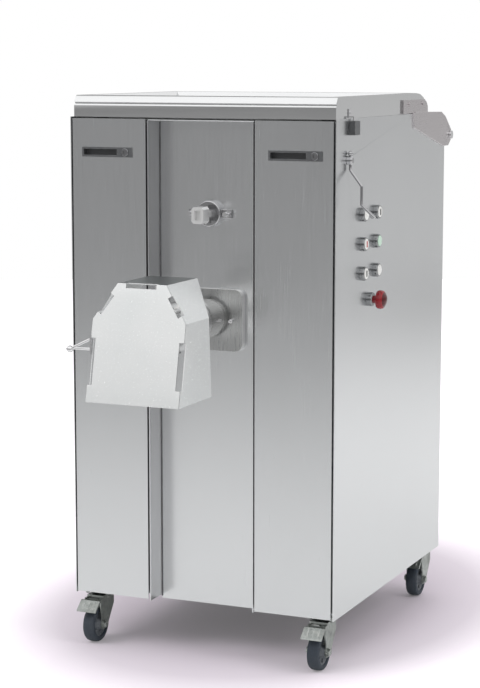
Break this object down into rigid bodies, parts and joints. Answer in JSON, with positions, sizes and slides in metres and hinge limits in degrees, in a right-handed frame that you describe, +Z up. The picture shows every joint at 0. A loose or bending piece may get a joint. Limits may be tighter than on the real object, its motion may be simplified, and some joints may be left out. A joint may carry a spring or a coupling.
{
  "type": "meat mixer grinder",
  "caption": "Wheeled stainless steel mixer grinder with a hinged tray lid, front doors, a side control group and a guarded grinding head.",
  "frame": {"origin": "on the floor, under the middle of the cabinet's plan", "axes": "+Z up, -Y out of the front with the grinding head, +X towards the side with the buttons"},
  "size_m": [0.6705, 1.0725, 1.187],
  "materials": {
    "stainless_panel": "fine vertical brushing",
    "stainless_bright": "polished",
    "cast_head": "machined and glass-beaded casting",
    "frame_tube": "ground welds",
    "zinc_fork": "zinc plated, dull",
    "wheel_rubber": "matte tread",
    "seal_rubber": "food-grade silicone",
    "pull_black": "fine grain",
    "switch_grey": "moulded",
    "bolt_chrome": "polished",
    "bezel_black": "moulded",
    "button_white": "smooth",
    "button_red": "smooth",
    "button_green": "smooth",
    "stop_red": "smooth",
    "gland_grey": "moulded",
    "motor_paint": "enamel",
    "box_paint": "powder coat"
  },
  "bodies": {
    "cabinet": {"auger_gearmotor": "motor_paint", "base_frame": "frame_tube", "cable_gland": "gland_grey", "castor_plates": "zinc_fork", "control_bezels": "bezel_black", "control_box": "box_paint", "front_bolts": "bolt_chrome", "front_panel": "stainless_panel", "grinder_head": "cast_head", "head_flange_plate": "stainless_bright", "hinge_plates": "stainless_bright", "hinge_shaft": "bolt_chrome", "hopper_tub": "stainless_bright", "interlock_switch": "switch_grey", "left_side_panel": "stainless_panel", "lid_seal": "seal_rubber", "mincer_plate": "stainless_bright", "paddle_bearing": "stainless_bright", "paddle_gearmotor": "motor_paint", "rear_panel": "stainless_panel", "right_side_panel": "stainless_panel", "top_deck": "stainless_panel"},
    "lid": {"lid_shell": "stainless_panel", "lid_arms": "stainless_bright", "interlock_key": "stainless_bright"},
    "left_door_leaf": {"left_door": "stainless_panel", "left_door_pull": "pull_black"},
    "left_lock": {"left_door_lock": "bolt_chrome"},
    "right_door_leaf": {"right_door": "stainless_panel", "right_door_pull": "pull_black"},
    "right_lock": {"right_door_lock": "bolt_chrome"},
    "paddle": {"mixing_paddle": "stainless_bright"},
    "knob": {"bearing_knob": "stainless_bright"},
    "worm": {"feed_worm": "stainless_bright", "knife": "stainless_bright"},
    "nut": {"ring_nut": "cast_head"},
    "guard": {"guard_shell": "stainless_panel", "guard_front_plate": "stainless_panel", "guard_handle": "bolt_chrome"},
    "lever": {"hand_lever": "bolt_chrome"},
    "stop": {"stop_mushroom": "stop_red"},
    "plunger_white_a": {"button_white_a": "button_white"},
    "plunger_red": {"button_red": "button_red"},
    "plunger_white_b": {"button_white_b": "button_white"},
    "plunger_black_bar": {"button_black_bar": "button_white"},
    "plunger_green": {"button_green": "button_green"},
    "plunger_white_c": {"button_white_c": "button_white"},
    "castor_front_left_swivel": {"castor_front_left_fork": "zinc_fork"},
    "castor_front_left_roller": {"castor_front_left_wheel": "wheel_rubber"},
    "castor_front_left_brake": {"castor_front_left_pedal": "zinc_fork"},
    "castor_front_right_swivel": {"castor_front_right_fork": "zinc_fork"},
    "castor_front_right_roller": {"castor_front_right_wheel": "wheel_rubber"},
    "castor_front_right_brake": {"castor_front_right_pedal": "zinc_fork"},
    "castor_rear_left_swivel": {"castor_rear_left_fork": "zinc_fork"},
    "castor_rear_left_roller": {"castor_rear_left_wheel": "wheel_rubber"},
    "castor_rear_left_brake": {"castor_rear_left_pedal": "zinc_fork"},
    "castor_rear_right_swivel": {"castor_rear_right_fork": "zinc_fork"},
    "castor_rear_right_roller": {"castor_rear_right_wheel": "wheel_rubber"},
    "castor_rear_right_brake": {"castor_rear_right_pedal": "zinc_fork"}
  },
  "joints": [
    {"name": "lid_hinge", "type": "hinge", "parent": "cabinet", "child": "lid", "pos_m": [0, 0.3835, 1.0875], "axis": [-1, 0, 0], "range_deg": [0, 85]},
    {"name": "left_door_hinge", "type": "hinge", "parent": "cabinet", "child": "left_door_leaf", "pos_m": [-0.2895, -0.347, 0.6265], "axis": [0, 0, -1], "range_deg": [0, 100]},
    {"name": "left_lock_turn", "type": "hinge", "parent": "left_door_leaf", "child": "left_lock", "pos_m": [-0.1715, -0.353, 1.069], "axis": [0, -1, 0], "range_deg": [0, 90]},
    {"name": "right_door_hinge", "type": "hinge", "parent": "cabinet", "child": "right_door_leaf", "pos_m": [0.1285, -0.347, 0.6265], "axis": [0, 0, -1], "range_deg": [0, 90]},
    {"name": "right_lock_turn", "type": "hinge", "parent": "right_door_leaf", "child": "right_lock", "pos_m": [0.254, -0.353, 1.069], "axis": [0, -1, 0], "range_deg": [0, 90]},
    {"name": "paddle_spin", "type": "hinge", "parent": "cabinet", "child": "paddle", "pos_m": [0, -0.05, 0.943], "axis": [0, 1, 0], "continuous": true},
    {"name": "knob_turn", "type": "hinge", "parent": "cabinet", "child": "knob", "pos_m": [0, -0.34, 0.943], "axis": [0, -1, 0], "range_deg": [0, 90]},
    {"name": "worm_spin", "type": "hinge", "parent": "cabinet", "child": "worm", "pos_m": [0, -0.2, 0.7255], "axis": [0, 1, 0], "continuous": true},
    {"name": "nut_turn", "type": "hinge", "parent": "cabinet", "child": "nut", "pos_m": [0, -0.56, 0.7255], "axis": [0, 1, 0], "range_deg": [0, 360]},
    {"name": "guard_hinge", "type": "hinge", "parent": "cabinet", "child": "guard", "pos_m": [0, -0.492, 0.806], "axis": [-1, 0, 0], "range_deg": [0, 90]},
    {"name": "lever_swing", "type": "hinge", "parent": "cabinet", "child": "lever", "pos_m": [0.299, -0.289, 1.059], "axis": [1, 0, 0], "range_deg": [-45, 90]},
    {"name": "press_white_a", "type": "slide", "parent": "cabinet", "child": "plunger_white_a", "axis": [-1, 0, 0], "range_m": [0, 0.003], "stiffness_N_per_m": 400, "springref_m": -0.002},
    {"name": "press_red", "type": "slide", "parent": "cabinet", "child": "plunger_red", "axis": [-1, 0, 0], "range_m": [0, 0.003], "stiffness_N_per_m": 400, "springref_m": -0.002},
    {"name": "press_white_b", "type": "slide", "parent": "cabinet", "child": "plunger_white_b", "axis": [-1, 0, 0], "range_m": [0, 0.003], "stiffness_N_per_m": 400, "springref_m": -0.002},
    {"name": "press_black_bar", "type": "slide", "parent": "cabinet", "child": "plunger_black_bar", "axis": [-1, 0, 0], "range_m": [0, 0.003], "stiffness_N_per_m": 400, "springref_m": -0.002},
    {"name": "press_green", "type": "slide", "parent": "cabinet", "child": "plunger_green", "axis": [-1, 0, 0], "range_m": [0, 0.003], "stiffness_N_per_m": 400, "springref_m": -0.002},
    {"name": "press_white_c", "type": "slide", "parent": "cabinet", "child": "plunger_white_c", "axis": [-1, 0, 0], "range_m": [0, 0.003], "stiffness_N_per_m": 400, "springref_m": -0.002},
    {"name": "press_stop", "type": "slide", "parent": "cabinet", "child": "stop", "axis": [-1, 0, 0], "range_m": [0, 0.005], "stiffness_N_per_m": 1200, "springref_m": -0.003},
    {"name": "swivel_front_left", "type": "hinge", "parent": "cabinet", "child": "castor_front_left_swivel", "pos_m": [-0.2615, -0.308, 0.1], "axis": [0, 0, 1], "continuous": true},
    {"name": "roll_front_left", "type": "hinge", "parent": "castor_front_left_swivel", "child": "castor_front_left_roller", "pos_m": [-0.2615, -0.335, 0.04], "axis": [1, 0, 0], "continuous": true},
    {"name": "brake_front_left", "type": "hinge", "parent": "castor_front_left_swivel", "child": "castor_front_left_brake", "pos_m": [-0.2615, -0.344, 0.092], "axis": [1, 0, 0], "range_deg": [0, 12]},
    {"name": "swivel_front_right", "type": "hinge", "parent": "cabinet", "child": "castor_front_right_swivel", "pos_m": [0.2615, -0.308, 0.1], "axis": [0, 0, 1], "continuous": true},
    {"name": "roll_front_right", "type": "hinge", "parent": "castor_front_right_swivel", "child": "castor_front_right_roller", "pos_m": [0.2615, -0.335, 0.04], "axis": [1, 0, 0], "continuous": true},
    {"name": "brake_front_right", "type": "hinge", "parent": "castor_front_right_swivel", "child": "castor_front_right_brake", "pos_m": [0.2615, -0.344, 0.092], "axis": [1, 0, 0], "range_deg": [0, 12]},
    {"name": "swivel_rear_left", "type": "hinge", "parent": "cabinet", "child": "castor_rear_left_swivel", "pos_m": [-0.2615, 0.327, 0.1], "axis": [0, 0, 1], "continuous": true},
    {"name": "roll_rear_left", "type": "hinge", "parent": "castor_rear_left_swivel", "child": "castor_rear_left_roller", "pos_m": [-0.2615, 0.3, 0.04], "axis": [1, 0, 0], "continuous": true},
    {"name": "brake_rear_left", "type": "hinge", "parent": "castor_rear_left_swivel", "child": "castor_rear_left_brake", "pos_m": [-0.2615, 0.291, 0.092], "axis": [1, 0, 0], "range_deg": [0, 12]},
    {"name": "swivel_rear_right", "type": "hinge", "parent": "cabinet", "child": "castor_rear_right_swivel", "pos_m": [0.2615, 0.327, 0.1], "axis": [0, 0, 1], "continuous": true},
    {"name": "roll_rear_right", "type": "hinge", "parent": "castor_rear_right_swivel", "child": "castor_rear_right_roller", "pos_m": [0.2615, 0.3, 0.04], "axis": [1, 0, 0], "continuous": true},
    {"name": "brake_rear_right", "type": "hinge", "parent": "castor_rear_right_swivel", "child": "castor_rear_right_brake", "pos_m": [0.2615, 0.291, 0.092], "axis": [1, 0, 0], "range_deg": [0, 12]}
  ]
}
